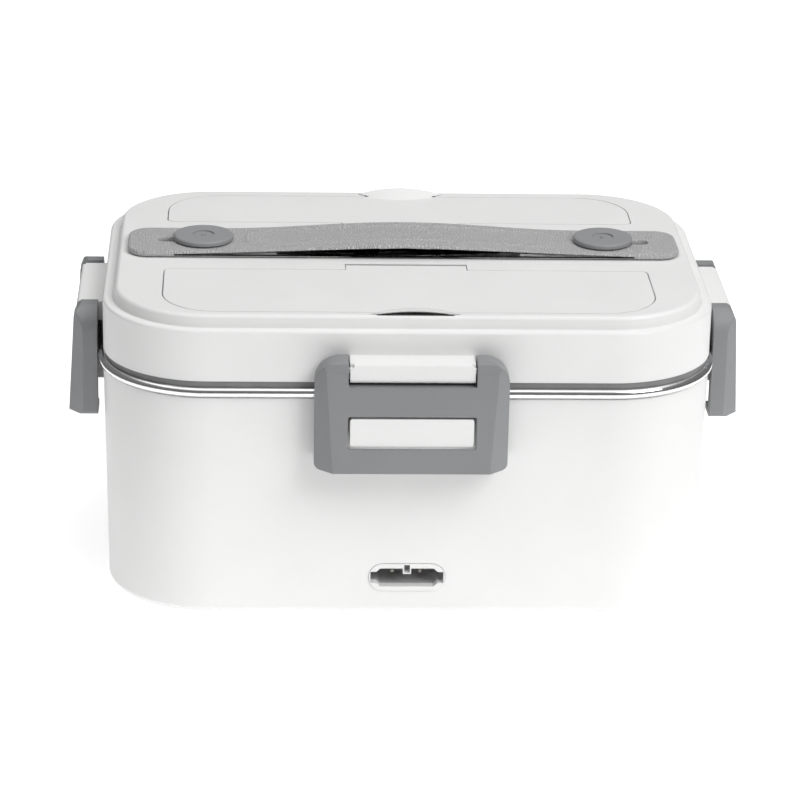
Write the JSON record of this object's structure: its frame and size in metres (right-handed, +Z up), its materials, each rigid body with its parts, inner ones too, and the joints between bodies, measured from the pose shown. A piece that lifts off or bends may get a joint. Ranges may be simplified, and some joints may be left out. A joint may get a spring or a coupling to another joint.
{
  "type": "electric lunch box",
  "caption": "Electric lunch box: heated housing with a lift-out steel pan, a lift-off lid held by snap latches, hinged top covers and a flexible carrying strap.",
  "frame": {"origin": "bottom centre of the box, on the plane the feet stand on", "axes": "+Z up, -Y towards the front with the power inlet, +X to the right when seen from the front"},
  "size_m": [0.2518, 0.1848, 0.1214],
  "materials": {
    "white_plastic": "fine satin",
    "white_liner": "satin",
    "base_plastic": "satin",
    "screw_steel": "plated",
    "foot_rubber": "matte",
    "plate_aluminium": "brushed",
    "heater_casing": "ceramic",
    "bracket_steel": "plated",
    "dark_plastic": "satin",
    "fuse_ceramic": "ceramic",
    "inlet_plastic": "satin",
    "pin_brass": "plated",
    "lead_red": "satin",
    "lead_dark": "satin",
    "pan_steel": "polished rim",
    "seal_rubber": "matte",
    "axle_steel": "plain",
    "button_plastic": "satin",
    "strap_leather": "grained",
    "latch_plastic": "satin"
  },
  "bodies": {
    "housing": {"housing_shell": "white_plastic", "inner_liner": "white_liner", "base_cover": "base_plastic", "base_screws": "screw_steel", "rubber_feet": "foot_rubber", "heating_plate": "plate_aluminium", "heater_block": "heater_casing", "heater_clamp": "bracket_steel", "clamp_screws": "screw_steel", "thermostat": "dark_plastic", "thermal_fuse": "fuse_ceramic", "inlet_bezel": "white_plastic", "power_inlet": "inlet_plastic", "inlet_pins": "pin_brass", "supply_leads": "lead_red", "heater_lead": "lead_dark"},
    "pan": {"steel_pan": "pan_steel"},
    "lid": {"lid_shell": "white_plastic", "lid_liner": "white_liner", "lid_screws": "screw_steel", "lid_seal": "seal_rubber", "front_cover_pin": "axle_steel", "rear_cover_pin": "axle_steel", "strap_button_left": "button_plastic", "strap_button_right": "button_plastic", "button_screws": "screw_steel", "latch_pin_front": "axle_steel", "latch_pin_right": "axle_steel", "latch_pin_rear": "axle_steel", "latch_pin_left": "axle_steel"},
    "front_cover": {"front_cover": "white_plastic"},
    "rear_cover": {"rear_cover": "white_plastic"},
    "strap_end_left": {"strap_end_left": "strap_leather"},
    "strap_mid_left": {"strap_mid_left": "strap_leather"},
    "strap_centre": {"strap_centre": "strap_leather"},
    "strap_mid_right": {"strap_mid_right": "strap_leather"},
    "strap_end_right": {"strap_end_right": "strap_leather"},
    "latch_front": {"latch_front": "latch_plastic"},
    "latch_right": {"latch_right": "latch_plastic"},
    "latch_rear": {"latch_rear": "latch_plastic"},
    "latch_left": {"latch_left": "latch_plastic"}
  },
  "joints": [
    {"name": "lid_lift", "type": "slide", "parent": "housing", "child": "lid", "axis": [0, 0, 1], "range_m": [0, 0.09]},
    {"name": "pan_lift", "type": "slide", "parent": "housing", "child": "pan", "axis": [0, 0, 1], "range_m": [0, 0.072]},
    {"name": "front_cover_open", "type": "hinge", "parent": "lid", "child": "front_cover", "pos_m": [0, -0.018, 0.114], "axis": [-1, 0, 0], "range_deg": [0, 95]},
    {"name": "rear_cover_open", "type": "hinge", "parent": "lid", "child": "rear_cover", "pos_m": [0, 0.0295, 0.114], "axis": [1, 0, 0], "range_deg": [0, 95]},
    {"name": "latch_front_open", "type": "hinge", "parent": "lid", "child": "latch_front", "pos_m": [0, -0.0857, 0.099], "axis": [-1, 0, 0], "range_deg": [0, 90]},
    {"name": "latch_right_open", "type": "hinge", "parent": "lid", "child": "latch_right", "pos_m": [0.1192, 0, 0.099], "axis": [0, -1, 0], "range_deg": [0, 90]},
    {"name": "latch_rear_open", "type": "hinge", "parent": "lid", "child": "latch_rear", "pos_m": [0, 0.0857, 0.099], "axis": [1, 0, 0], "range_deg": [0, 90]},
    {"name": "latch_left_open", "type": "hinge", "parent": "lid", "child": "latch_left", "pos_m": [-0.1192, 0, 0.099], "axis": [0, 1, 0], "range_deg": [0, 90]},
    {"name": "strap_lift", "type": "slide", "parent": "lid", "child": "strap_end_left", "axis": [1, 0, 0], "range_m": [0, 0.01239]},
    {"name": "strap_outer_left", "type": "hinge", "parent": "strap_end_left", "child": "strap_mid_left", "pos_m": [-0.058, 0.0045, 0.1172], "axis": [0, -1, 0], "range_deg": [0, 40]},
    {"name": "strap_inner_left", "type": "hinge", "parent": "strap_mid_left", "child": "strap_centre", "pos_m": [-0.013, 0.0045, 0.1201], "axis": [0, 1, 0], "range_deg": [0, 40]},
    {"name": "strap_inner_right", "type": "hinge", "parent": "strap_centre", "child": "strap_mid_right", "pos_m": [0.013, 0.0045, 0.1201], "axis": [0, 1, 0], "range_deg": [0, 40]},
    {"name": "strap_outer_right", "type": "hinge", "parent": "strap_mid_right", "child": "strap_end_right", "pos_m": [0.058, 0.0045, 0.1172], "axis": [0, -1, 0], "range_deg": [0, 40]}
  ],
  "couplings": [
    {"joint": "pan_lift", "follows": "lid_lift", "ratio": 0.8},
    {"joint": "latch_front_open", "follows": "lid_lift", "rad_per_m": 17.453},
    {"joint": "latch_right_open", "follows": "lid_lift", "rad_per_m": 17.453},
    {"joint": "latch_rear_open", "follows": "lid_lift", "rad_per_m": 17.453},
    {"joint": "latch_left_open", "follows": "lid_lift", "rad_per_m": 17.453},
    {"joint": "strap_outer_left", "follows": "strap_lift", "rad_per_m": 56.336},
    {"joint": "strap_inner_left", "follows": "strap_lift", "rad_per_m": 56.336},
    {"joint": "strap_inner_right", "follows": "strap_lift", "rad_per_m": 56.336},
    {"joint": "strap_outer_right", "follows": "strap_lift", "rad_per_m": 56.336}
  ]
}
